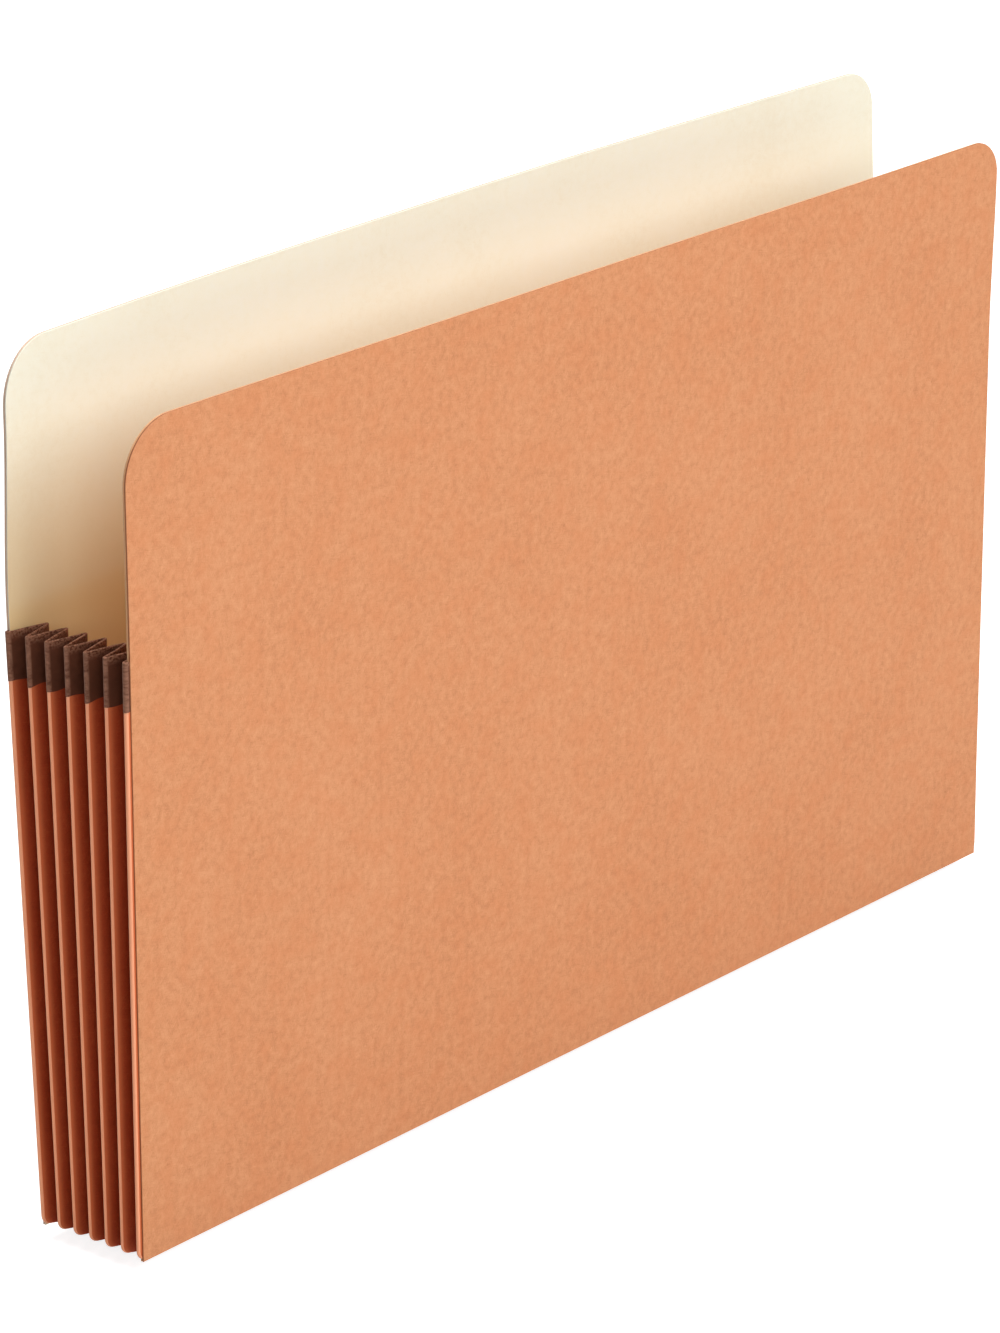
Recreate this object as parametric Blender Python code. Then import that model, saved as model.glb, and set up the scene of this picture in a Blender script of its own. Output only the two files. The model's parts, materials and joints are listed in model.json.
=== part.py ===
"""Expanding file pocket of legal size, standing a little open.

Two panels of kraft board, each lined with paper, are joined by one pleated gusset
that runs down the left side, along the bottom and up the right side. Every leaf of
the gusset lies between two creases and is a separate object, with its origin on the
crease that it turns about. A tape is folded over the top edge of each side.

The front panel stands upright and the back panel leans back, so the pocket is wider
at its top. The creases of each side fan out from one point far below the ground.

Units are metres. +X runs along the panels, +Y from the front panel to the back
panel and +Z up. The origin is on the ground, under the middle of the pocket.
"""

import math

import bmesh
import bpy
from mathutils import Matrix, Vector

# Panels
PANEL_WIDTH = 0.37465  # from side edge to side edge
FRONT_HEIGHT = 0.2286  # from the ground to the front panel's top edge
BACK_RISE = 0.0127  # how far the back panel stands above the front panel
PANEL_CORNER_RADIUS = 0.0159  # the rounded top corners of both panels
COVER_THICKNESS = 0.0004  # outer ply
LINING_THICKNESS = 0.00025  # inner ply
GLUE_LINE = 0.0001  # between two plies
REST_DEPTH = 0.0364  # between the outer faces of the covers at the ground, as it stands
BACK_LEAN = 0.0098  # how much further back the back panel's top edge is than its foot

# Gusset
PLEATS = 6  # folds on one side, each of two leaves
TOP_LEAF_WIDTH = 0.0111125  # from crease to crease, at the gusset's top
GUSSET_THICKNESS = 0.00028
GUSSET_DROP = 0.0619  # from the front panel's top edge down to the gusset's
GUSSET_OVERHANG = 0.0007  # how far the outer creases stand past the panels' sides
GUSSET_LIFT = 0.0006  # how far the bottom creases stay above the ground
GUSSET_CORNER_RADIUS = 0.003  # where an outer crease turns from side to bottom
FLANGE_WIDTH = 0.019  # of the gusset's edge that is glued into a panel

# Tape over the gusset's top edge
TAPE_HEIGHT = 0.0135
TAPE_THICKNESS = 0.0001

# Clearances
FOLDED_GAP = 0.0001  # between two leaves that are folded flat
CREASE_GAP = 0.00015  # from a leaf's edge to its crease
MITRE_GAP = 0.0004  # from the end of a leaf to the corner's mitre line

# Facets on round stretches
PANEL_ARC_STEPS = 10
GUSSET_ARC_STEPS = 4

LEAVES = 2 * PLEATS
BACK_HEIGHT = FRONT_HEIGHT + BACK_RISE
GUSSET_TOP = FRONT_HEIGHT - GUSSET_DROP
PANEL_THICKNESS = COVER_THICKNESS + LINING_THICKNESS + GUSSET_THICKNESS + 2 * GLUE_LINE
OUTER_CREASE = PANEL_WIDTH / 2 + GUSSET_OVERHANG
LEAF_PITCH = GUSSET_THICKNESS + 2 * TAPE_THICKNESS + FOLDED_GAP
LEAN_ANGLE = math.asin(BACK_LEAN / BACK_HEIGHT)
BACK_FOOT = (REST_DEPTH - BACK_LEAN) / 2  # Y of the back panel's outer face at the ground
FRONT_FOOT = -(REST_DEPTH + BACK_LEAN) / 2  # Y of the front panel's outer face
FACE_TO_CREASE = PANEL_THICKNESS + FOLDED_GAP / 2
FIRST_CREASE = BACK_FOOT - FACE_TO_CREASE / math.cos(LEAN_ANGLE)  # Y at the ground
LAST_CREASE = FRONT_FOOT + FACE_TO_CREASE
FAN_DEPTH = (FIRST_CREASE - LAST_CREASE) / math.tan(LEAN_ANGLE)  # of the point where creases meet
LEAF_WIDTH = TOP_LEAF_WIDTH / (1 + GUSSET_TOP / FAN_DEPTH)  # from crease to crease, at the ground

TOWARDS_FRONT = Vector((0, -1, 0))
UP = Vector((0, 0, 1))
ALONG = Vector((1, 0, 0))
BACK_UP = Vector((0, math.sin(LEAN_ANGLE), math.cos(LEAN_ANGLE)))
BACK_INWARD = Vector((0, -math.cos(LEAN_ANGLE), math.sin(LEAN_ANGLE)))


def clear_scene():
    """Remove every object that the file opened with."""
    for thing in list(bpy.data.objects):
        bpy.data.objects.remove(thing, do_unlink=True)


def paper_material(name, colour, roughness):
    """A matt paper of one colour."""
    material = bpy.data.materials.new(name)
    material.use_nodes = True
    shader = material.node_tree.nodes["Principled BSDF"]
    shader.inputs["Base Color"].default_value = (*colour, 1)
    shader.inputs["Roughness"].default_value = roughness
    shader.inputs["Metallic"].default_value = 0
    material.diffuse_color = (*colour, 1)
    return material


def solid_through_rings(name, rings, material):
    """A closed solid through cross-sections that have the same number of points."""
    build = bmesh.new()
    loops = [[build.verts.new(point) for point in ring] for ring in rings]
    count = len(rings[0])
    for first, second in zip(loops, loops[1:]):
        for index in range(count):
            after = (index + 1) % count
            build.faces.new((first[index], first[after], second[after], second[index]))
    build.faces.new(loops[0])
    build.faces.new(loops[-1])
    bmesh.ops.recalc_face_normals(build, faces=build.faces)
    mesh = bpy.data.meshes.new(name)
    build.to_mesh(mesh)
    build.free()
    mesh.materials.append(material)
    solid = bpy.data.objects.new(name, mesh)
    bpy.context.scene.collection.objects.link(solid)
    return solid


def arc_points(centre, radius, start_degrees, end_degrees, steps):
    """Points on an arc in the XZ plane, both ends included."""
    angles = [
        math.radians(start_degrees + (end_degrees - start_degrees) * step / steps)
        for step in range(steps + 1)
    ]
    return [
        (centre[0] + radius * math.cos(angle), centre[1] + radius * math.sin(angle))
        for angle in angles
    ]


def panel_outline(height):
    """A panel's outline in XZ: square below and rounded at both top corners."""
    half = PANEL_WIDTH / 2
    radius = PANEL_CORNER_RADIUS
    right = arc_points((half - radius, height - radius), radius, 0, 90, PANEL_ARC_STEPS)
    left = arc_points((radius - half, height - radius), radius, 90, 180, PANEL_ARC_STEPS)
    return [(-half, 0), (half, 0), *right, *left]


def flange_outline():
    """The glue flange's outline in XZ: a U with rounded outer corners."""
    outer = OUTER_CREASE - CREASE_GAP
    foot = GUSSET_LIFT + CREASE_GAP
    inner = OUTER_CREASE - FLANGE_WIDTH
    radius = GUSSET_CORNER_RADIUS
    left = arc_points((radius - outer, foot + radius), radius, 180, 270, GUSSET_ARC_STEPS)
    right = arc_points((outer - radius, foot + radius), radius, 270, 360, GUSSET_ARC_STEPS)
    opening = [(inner, GUSSET_TOP), (inner, FLANGE_WIDTH), (-inner, FLANGE_WIDTH), (-inner, GUSSET_TOP)]
    return [(-outer, GUSSET_TOP), *left, *right, (outer, GUSSET_TOP), *opening]


def panel_sheet(name, outline, depth, thickness, stand, material):
    """A flat layer of a panel.

    depth is the distance from the panel's outer face to the layer, and stand holds the
    panel's foot, its direction inwards and its direction upwards.
    """
    foot, inward, up = stand
    faces = [
        [foot + ALONG * x + inward * at + up * z for x, z in outline]
        for at in (depth, depth + thickness)
    ]
    return solid_through_rings(name, faces, material)


def make_panel(side, height, stand, lining, papers):
    """A panel's three layers, from the outside in: cover, gusset flange and lining."""
    flange_at = COVER_THICKNESS + GLUE_LINE
    lining_at = flange_at + GUSSET_THICKNESS + GLUE_LINE
    outline = panel_outline(height)
    panel_sheet(f"{side}_cover", outline, 0, COVER_THICKNESS, stand, papers["cover"])
    panel_sheet(
        f"{side}_flange", flange_outline(), flange_at, GUSSET_THICKNESS, stand, papers["gusset"]
    )
    panel_sheet(f"{side}_lining", outline, lining_at, LINING_THICKNESS, stand, lining)


def rest_angle():
    """The angle between a leaf and the front panel, at which the leaves fill the rest depth.

    A leaf reaches LEAF_WIDTH along itself and LEAF_PITCH across itself from one crease
    to the next, at the ground.
    """
    step = (FIRST_CREASE - LAST_CREASE) / LEAVES
    slant = math.atan2(LEAF_PITCH, LEAF_WIDTH)
    return math.asin(step / math.hypot(LEAF_WIDTH, LEAF_PITCH)) - slant


def corner_cut(from_outer):
    """How far a leaf's end stays from the next stretch's outer creases.

    from_outer is the distance to the leaf's own outer crease. The end runs along the
    corner's mitre line, and along the arc on which the outer crease turns.
    """
    mitre = from_outer + MITRE_GAP
    if from_outer >= GUSSET_CORNER_RADIUS:
        return mitre
    drop = GUSSET_CORNER_RADIUS - from_outer
    arc = GUSSET_CORNER_RADIUS - math.sqrt(GUSSET_CORNER_RADIUS**2 - drop**2)
    return max(mitre, arc)


def leaf_stations():
    """Distances from the outer crease at which a leaf's cross-section is drawn."""
    arc_end = GUSSET_CORNER_RADIUS * (1 - math.sqrt(0.5))
    on_arc = [
        CREASE_GAP + (arc_end - CREASE_GAP) * step / GUSSET_ARC_STEPS
        for step in range(GUSSET_ARC_STEPS + 1)
    ]
    return [*on_arc, LEAF_WIDTH - CREASE_GAP]


def side_section(from_outer):
    """A side leaf's cross-section, as pairs of distance across the leaf and height."""
    half = GUSSET_THICKNESS / 2
    taped = half + TAPE_THICKNESS
    foot = GUSSET_LIFT + corner_cut(from_outer)
    tape_foot = GUSSET_TOP - TAPE_HEIGHT
    return [
        (-half, foot),
        (half, foot),
        (half, tape_foot),
        (taped, tape_foot),
        (taped, GUSSET_TOP),
        (-taped, GUSSET_TOP),
        (-taped, tape_foot),
        (-half, tape_foot),
    ]


def bottom_section(from_outer):
    """A bottom leaf's cross-section, as pairs of distance across the leaf and X."""
    half = GUSSET_THICKNESS / 2
    end = OUTER_CREASE - corner_cut(from_outer)
    return [(-half, -end), (half, -end), (half, end), (-half, end)]


def make_leaf(name, crease, stretch, goes_inward, material):
    """One leaf between two creases, with its origin on the first of them.

    Args:
        crease: a point on the crease that the leaf turns about.
        stretch: the stretch of the gusset that it is in.
        goes_inward: whether the leaf runs inwards from that crease, or back out.

    Returns:
        The leaf, and a point on its other crease.
    """
    angle = rest_angle()
    turn = 1 if goes_inward else -1
    reach = stretch["inward"] * (turn * math.cos(angle)) + TOWARDS_FRONT * math.sin(angle)
    across = TOWARDS_FRONT * math.cos(angle) - stretch["inward"] * (turn * math.sin(angle))
    start = crease + across * (LEAF_PITCH / 2)
    normal = reach.cross(crease_run(start, stretch)).normalized()
    normal = normal if normal.dot(across) > 0 else -normal
    axis = crease_run(crease, stretch).normalized()
    axis = axis if axis.dot(reach.cross(across)) > 0 else -axis
    side_on = (reach - axis * reach.dot(axis)).normalized()
    turned = Matrix((side_on, axis.cross(side_on), axis)).transposed().to_4x4()
    place = Matrix.Translation(crease) @ turned
    back = place.inverted()
    rings = []
    for from_outer in leaf_stations():
        from_crease = from_outer if goes_inward else LEAF_WIDTH - from_outer
        foot = start + reach * from_crease
        run = crease_run(foot, stretch)
        rings.append(
            [back @ (foot + run * along + normal * over) for over, along in stretch["section"](from_outer)]
        )
    leaf = solid_through_rings(name, rings, material)
    leaf.matrix_world = place
    return leaf, crease + reach * LEAF_WIDTH + across * LEAF_PITCH


def crease_run(foot, stretch):
    """How a line along the leaves goes on from a foot, for one metre along the stretch.

    The lines of a side all come from the point where its creases meet. Those of the
    bottom are parallel.
    """
    if stretch["meeting"] is None:
        return stretch["lengthwise"]
    return (foot - stretch["meeting"]) / FAN_DEPTH


def make_pleats(label, stretch, material):
    """The leaves of one stretch of the gusset, from the back panel to the front one."""
    crease = stretch["first_crease"]
    leaves = []
    for number in range(1, LEAVES + 1):
        leaf, crease = make_leaf(
            f"{label}_leaf_{number:02d}", crease, stretch, number % 2 == 1, material
        )
        leaves.append(leaf)
    return leaves


def side_stretch(inward):
    """A side of the gusset, whose leaves reach inwards along +X or -X."""
    outer = inward * -OUTER_CREASE
    return {
        "first_crease": outer + Vector((0, FIRST_CREASE, 0)),
        "inward": inward,
        "meeting": outer + Vector((0, LAST_CREASE, -FAN_DEPTH)),
        "section": side_section,
    }


def bottom_stretch():
    """The bottom of the gusset, whose leaves reach upwards."""
    return {
        "first_crease": Vector((0, FIRST_CREASE, GUSSET_LIFT)),
        "inward": UP,
        "meeting": None,
        "lengthwise": ALONG,
        "section": bottom_section,
    }


def tape_top_edge(leaf, tape):
    """Give the faces of a side leaf's taped top the tape's material."""
    leaf.data.materials.append(tape)
    tape_foot = GUSSET_TOP - TAPE_HEIGHT
    for face in leaf.data.polygons:
        if abs(face.center.z) > tape_foot:
            face.material_index = 1


def main():
    """Build the pocket."""
    clear_scene()
    papers = {
        "cover": paper_material("kraft_board", (0.72, 0.33, 0.16), 0.75),
        "lining": paper_material("cream_lining", (0.87, 0.77, 0.6), 0.8),
        "gusset": paper_material("gusset_paper", (0.52, 0.2, 0.09), 0.75),
        "tape": paper_material("binding_tape", (0.075, 0.035, 0.022), 0.65),
    }
    back = (Vector((0, BACK_FOOT, 0)), BACK_INWARD, BACK_UP)
    front = (Vector((0, FRONT_FOOT, 0)), -TOWARDS_FRONT, UP)
    make_panel("back", BACK_HEIGHT, back, papers["lining"], papers)
    make_panel("front", FRONT_HEIGHT, front, papers["cover"], papers)

    sides = make_pleats("left", side_stretch(ALONG), papers["gusset"])
    sides += make_pleats("right", side_stretch(-ALONG), papers["gusset"])
    for leaf in sides:
        tape_top_edge(leaf, papers["tape"])
    make_pleats("bottom", bottom_stretch(), papers["gusset"])


main()
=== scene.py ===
"""Looks of an expanding file pocket: lined paper panels, a pleated gusset and its tape.

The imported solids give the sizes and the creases. Every visible sheet is drawn here as a thin closed
surface on a grid, and dressed with procedural paper or woven tape. Units are metres, with +X along
the panels, +Y from the front panel to the back panel and +Z up.
"""

from __future__ import annotations

import json
import logging
import math
from abc import ABC, abstractmethod
from dataclasses import dataclass, replace
from enum import Enum
from typing import Any

import bpy
import numpy as np
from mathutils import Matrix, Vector


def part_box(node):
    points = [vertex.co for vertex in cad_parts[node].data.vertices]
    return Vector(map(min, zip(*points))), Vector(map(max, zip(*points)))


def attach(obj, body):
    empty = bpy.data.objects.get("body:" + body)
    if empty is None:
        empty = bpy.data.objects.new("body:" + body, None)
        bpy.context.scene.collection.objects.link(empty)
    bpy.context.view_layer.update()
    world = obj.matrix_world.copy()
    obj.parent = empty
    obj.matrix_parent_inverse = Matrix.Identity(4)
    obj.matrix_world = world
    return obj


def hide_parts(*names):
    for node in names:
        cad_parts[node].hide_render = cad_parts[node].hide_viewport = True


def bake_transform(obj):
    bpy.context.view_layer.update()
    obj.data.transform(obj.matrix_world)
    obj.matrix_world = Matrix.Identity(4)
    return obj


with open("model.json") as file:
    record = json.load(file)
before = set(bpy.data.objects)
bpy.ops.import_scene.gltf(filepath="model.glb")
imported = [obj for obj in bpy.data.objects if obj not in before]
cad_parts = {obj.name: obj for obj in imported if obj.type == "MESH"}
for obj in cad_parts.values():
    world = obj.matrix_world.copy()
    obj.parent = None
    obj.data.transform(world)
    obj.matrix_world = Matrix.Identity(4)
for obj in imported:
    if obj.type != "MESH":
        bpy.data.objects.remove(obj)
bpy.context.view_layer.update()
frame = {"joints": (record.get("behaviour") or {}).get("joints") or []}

log = logging.getLogger("file_pocket")

Array = np.ndarray
Colour = tuple[float, float, float]

PAPER_MAP = "paper"  # UV map in metres, as if the sheet lay unfolded
CREASE_AND_PAINTED_SHADE_MASK = "crease"  # 1 on a fold and 0 away from it; on the back lining, how much painted warm shade it gets by the gusset
RIM_MASK = "rim"  # 1 on a sheet's cut edge, 0 on its faces
GUSSET_TOP = 0.1667  # height of the sides' top edge at the front
SHARP_EDGE = math.radians(25)  # faces that meet at more than this aren't smoothed together
HAIR = 1e-9  # for comparing places

Span = tuple[float, float]  # the ends of a smooth step


class Side(Enum):
    """The two panels, each with the sense in which it lies from the middle plane."""

    FRONT = -1
    BACK = 1

    @property
    def body(self) -> str:
        """Name of the body that carries the panel."""
        return self.name.lower()

    @property
    def first_crease(self) -> str:
        """The body that turns about the left crease next to the panel."""
        return self.body if self is Side.FRONT else "left_leaf_01"


class Stretch(Enum):
    """The three stretches of the gusset, each with its share of the pattern's offset."""

    LEFT = 0
    RIGHT = 1
    BOTTOM = 2

    @property
    def label(self) -> str:
        """The word that the names of its bodies begin with."""
        return self.name.lower()


class FoldPart(Enum):
    """How much of a fold one piece of paper holds."""

    WHOLE = "whole"
    LEAF_HALF = "leaf half"
    PANEL_HALF = "panel half"


class Value:
    """A shader socket that takes part in arithmetic, where each step adds a Math node."""

    def __init__(self, graph: Graph, socket: bpy.types.NodeSocket) -> None:
        """Wrap a socket of a graph."""
        self.graph = graph
        self.socket = socket

    def __add__(self, other: Value | float) -> Value:
        """Sum."""
        return self.graph.math("ADD", self, other)

    def __radd__(self, other: float) -> Value:
        """Sum with a number on the left."""
        return self.graph.math("ADD", other, self)

    def __sub__(self, other: Value | float) -> Value:
        """Difference."""
        return self.graph.math("SUBTRACT", self, other)

    def __rsub__(self, other: float) -> Value:
        """Difference from a number."""
        return self.graph.math("SUBTRACT", other, self)

    def __mul__(self, other: Value | float) -> Value:
        """Product."""
        return self.graph.math("MULTIPLY", self, other)

    def __rmul__(self, other: float) -> Value:
        """Product with a number on the left."""
        return self.graph.math("MULTIPLY", other, self)


class Graph:
    """The nodes of one material or world."""

    def __init__(self, tree: bpy.types.NodeTree) -> None:
        """Start from an empty node tree."""
        self.tree = tree
        tree.nodes.clear()

    def node(
        self,
        kind: str,
        settings: dict[str, Any] | None = None,
        sockets: dict[str | int, Any] | None = None,
        output: str | int = 0,
    ) -> Value:
        """Add a node.

        Args:
            kind: the node's type.
            settings: its own settings, set first; "stops" are a ramp's positions and colours.
            sockets: a value or a link for each named or numbered input.
            output: the output that the result stands for.

        Returns:
            The chosen output.
        """
        made = self.tree.nodes.new(kind)
        for name, setting in (settings or {}).items():
            if name == "stops":
                self._set_stops(made.color_ramp, setting)
            else:
                setattr(made, name, setting)
        for name, given in (sockets or {}).items():
            if isinstance(given, Value):
                self.tree.links.new(given.socket, made.inputs[name])
            else:
                made.inputs[name].default_value = given
        return Value(self, made.outputs[output] if made.outputs else None)

    @staticmethod
    def _set_stops(ramp: bpy.types.ColorRamp, stops: list[tuple[float, Colour]]) -> None:
        """Give a ramp its stops.

        Args:
            ramp: the ramp, which starts with two stops.
            stops: positions and colours, from the lowest position to the highest.
        """
        while len(ramp.elements) < len(stops):
            ramp.elements.new(1.0)
        for element, (position, colour) in zip(ramp.elements, stops):
            element.position = position
            element.color = (*colour, 1)

    def paper_map(self) -> Value:
        """The sheet's own coordinates in metres."""
        return self.node("ShaderNodeUVMap", {"uv_map": PAPER_MAP})

    def mask(self, name: str) -> Value:
        """A point attribute of the sheet."""
        return self.node("ShaderNodeAttribute", {"attribute_name": name}, output="Fac")

    def noise(self, at: Value, size: float, detail: float = 3.0, roughness: float = 0.55) -> Value:
        """Fractal noise that swings about 0.5, whose largest features are this many metres wide."""
        sockets = {"Vector": at, "Scale": 1 / size, "Detail": detail, "Roughness": roughness}
        return self.node("ShaderNodeTexNoise", {"noise_dimensions": "2D"}, sockets)

    def turned(self, at: Value, degrees: float, stretch: float, shift: float) -> Value:
        """Coordinates that are turned, and drawn out along their first direction.

        Args:
            at: coordinates in metres.
            degrees: the turn.
            stretch: how much longer features become.
            shift: an offset, so that two layers differ.

        Returns:
            The new coordinates.
        """
        spun = self.node(
            "ShaderNodeMapping",
            {},
            {"Vector": at, "Location": (shift, shift, 0), "Rotation": (0, 0, math.radians(degrees))},
        )
        return self.node("ShaderNodeMapping", {}, {"Vector": spun, "Scale": (1 / stretch, 1, 1)})

    def math(self, operation: str, *operands: Value | float) -> Value:
        """A Math node with these operands."""
        return self.node("ShaderNodeMath", {"operation": operation}, dict(enumerate(operands)))

    def split(self, at: Value) -> tuple[Value, Value]:
        """The first two coordinates of a vector."""
        first = self.node("ShaderNodeSeparateXYZ", {}, {0: at})
        return first, Value(self, first.socket.node.outputs[1])

    def between(self, value: Value, low: float, high: float) -> Value:
        """A smooth step from 0 at low to 1 at high."""
        settings = {"interpolation_type": "SMOOTHSTEP"}
        return self.node("ShaderNodeMapRange", settings, {0: value, 1: low, 2: high})

    def ramp(self, value: Value, stops: list[tuple[float, Colour]]) -> Value:
        """A colour read from a ramp."""
        return self.node("ShaderNodeValToRGB", {"stops": stops}, {0: value})

    def mix(self, share: Value | float, first: Value | Colour, second: Value | Colour) -> Value:
        """A mix of two colours.

        Args:
            share: how much of the second colour shows.
            first: colour at share 0.
            second: colour at share 1.

        Returns:
            The mixed colour.
        """
        colours = [c if isinstance(c, Value) else (*c, 1) for c in (first, second)]
        settings = {"data_type": "RGBA"}
        return self.node("ShaderNodeMix", settings, {0: share, 6: colours[0], 7: colours[1]}, output=2)

    def bump(self, height: Value, depth: float) -> Value:
        """A normal that follows a pattern of heights, whose relief from 0 to 1 is this many metres."""
        return self.node("ShaderNodeBump", {}, {"Height": height, "Distance": depth, "Strength": 1.0})

    def surface(self, sockets: dict[str, Any]) -> None:
        """End the graph in a Principled surface with these inputs."""
        shader = self.node("ShaderNodeBsdfPrincipled", {}, sockets)
        self.node("ShaderNodeOutputMaterial", {}, {"Surface": shader})


class Finish(ABC):
    """The look of a sheet or of the floor."""

    name: str

    def build(self) -> bpy.types.Material:
        """Make the material.

        Returns:
            A material with this look.
        """
        material = bpy.data.materials.new(self.name)
        material.use_nodes = True
        self.draw(Graph(material.node_tree))
        return material

    @abstractmethod
    def draw(self, graph: Graph) -> None:
        """Fill the material's graph."""


@dataclass(frozen=True)
class Paper(Finish):
    """Fibrous paper or board: clouds, mottling, fibres every way, creases with wear and painted light,
    and cut edges.
    """

    name: str
    dark: Colour
    base: Colour
    pale: Colour
    flush: Colour  # of the blotches
    rubbed: Colour  # near a fold: some wear and a painted highlight along the gusset's ridges; on the back lining, its painted warm shade by the gusset
    worn: Colour  # on the fold: wear and a painted highlight on the gusset; on the back lining, its deepest painted warm shade
    edge: Colour  # where the sheet is cut
    mottling: float = 0.5  # swing of the millimetre mottling
    cloudiness: float = 0.3  # swing of the broad clouds
    flushing: float = 0.3  # depth of the blotches
    fibres: float = 0.2  # depth of the dark and pale fibres
    roughness: float = 0.7
    relief: float = 0.00003  # height of the fibres

    cloud_size: float = 0.045
    blotch_size: float = 0.0085
    mottle_size: float = 0.0026
    grain_size: float = 0.00042
    grain_share: float = 0.4  # swing of the grain, as a share of the mottling's
    rubbing: float = 0.8  # depth of the colour near a fold, its wear and painted light
    tones: tuple[float, float, float] = (0.2, 0.5, 0.8)  # at which dark, base and pale are pure
    blotch_span: Span = (0.35, 0.75)  # of the noise that makes the blotches
    fold_wear: Span = (0.96, 0.999)  # of the crease mask, where the colour on the fold, wear with painted light, shows
    patch_span: Span = (-0.4, 0.45)  # of the mottling that breaks up the colour on the fold
    dark_span: Span = (0.24, 0.34)  # of the noise in the fibres, which are dark below it
    pale_span: Span = (0.66, 0.76)  # and pale above it
    relief_shares: tuple[float, float, float] = (0.5, 0.3, 0.2)  # of mottling, grain and fibres
    shine: float = 0.3
    shine_swing: float = 0.15  # swing of the roughness
    fibre_turns: tuple[float, ...] = (12.0, 74.0, 131.0)
    fibre_width: float = 0.00035
    fibre_stretch: float = 9.0
    fibre_shift: float = 0.37  # from one layer of fibres to the next

    def draw(self, graph: Graph) -> None:
        """Fill the graph, which reads the sheet's own map and masks.

        The tone is one half plus the swings of the mottling, the clouds, the grain and the fibres. It
        picks a colour from dark to pale. Over that lie the blotches, the colour near a fold, by the
        crease mask squared, the colour on the fold and the cut edge, in turn. Near and on a fold the
        colour is partly wear and partly a painted highlight along the gusset's ridges. On the back
        lining the crease mask is its painted warm shade by the gusset instead.

        Args:
            graph: the material's graph.
        """
        at = graph.paper_map()
        clouds = graph.noise(at, self.cloud_size)
        blotches = graph.noise(at, self.blotch_size, detail=4, roughness=0.6)
        mottle = graph.noise(at, self.mottle_size, detail=4, roughness=0.66)
        grain = graph.noise(at, self.grain_size, detail=2)
        dark_fibres, pale_fibres = self._fibres(graph, at)
        tone = 0.5 + (mottle - 0.5) * self.mottling + (clouds - 0.5) * self.cloudiness
        tone = tone + (grain - 0.5) * (self.grain_share * self.mottling)
        tone = tone + (pale_fibres - dark_fibres) * self.fibres
        colour = graph.ramp(tone, list(zip(self.tones, (self.dark, self.base, self.pale))))
        blotched = graph.between(blotches, *self.blotch_span) * self.flushing
        colour = graph.mix(blotched, colour, self.flush)
        # Near a fold: partly wear, partly a painted highlight on the gusset's ridges; on the back lining
        # the mask is its painted warm shade.
        crease = graph.mask(CREASE_AND_PAINTED_SHADE_MASK)
        colour = graph.mix(crease * crease * self.rubbing, colour, self.rubbed)
        patchy = graph.between(mottle + grain * self.grain_share, *self.patch_span)
        # On the fold: wear with a painted highlight on the gusset, and the deepest painted warm shade on
        # the back lining.
        wear = graph.between(crease, *self.fold_wear) * patchy
        colour = graph.mix(wear, colour, self.worn)
        colour = graph.mix(graph.mask(RIM_MASK), colour, self.edge)
        by_mottle, by_grain, by_fibres = self.relief_shares
        height = mottle * by_mottle + grain * by_grain + (pale_fibres + dark_fibres) * by_fibres
        graph.surface(
            {
                "Base Color": colour,
                "Roughness": self.roughness + (mottle - 0.5) * self.shine_swing,
                "Specular IOR Level": self.shine,
                "Normal": graph.bump(height, self.relief),
            }
        )

    def _fibres(self, graph: Graph, at: Value) -> tuple[Value, Value]:
        """Thin streaks in several directions, from the crests of drawn-out noise.

        Args:
            graph: the material's graph.
            at: coordinates in metres.

        Returns:
            Masks of the dark fibres and the pale fibres.
        """
        dark, pale = None, None
        for layer, turn in enumerate(self.fibre_turns):
            along = graph.turned(at, turn, self.fibre_stretch, self.fibre_shift * (layer + 1))
            streak = graph.noise(along, self.fibre_width, detail=1)
            low = 1 - graph.between(streak, *self.dark_span)
            high = graph.between(streak, *self.pale_span)
            dark = low if dark is None else dark + low
            pale = high if pale is None else pale + high
        return dark, pale


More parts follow.
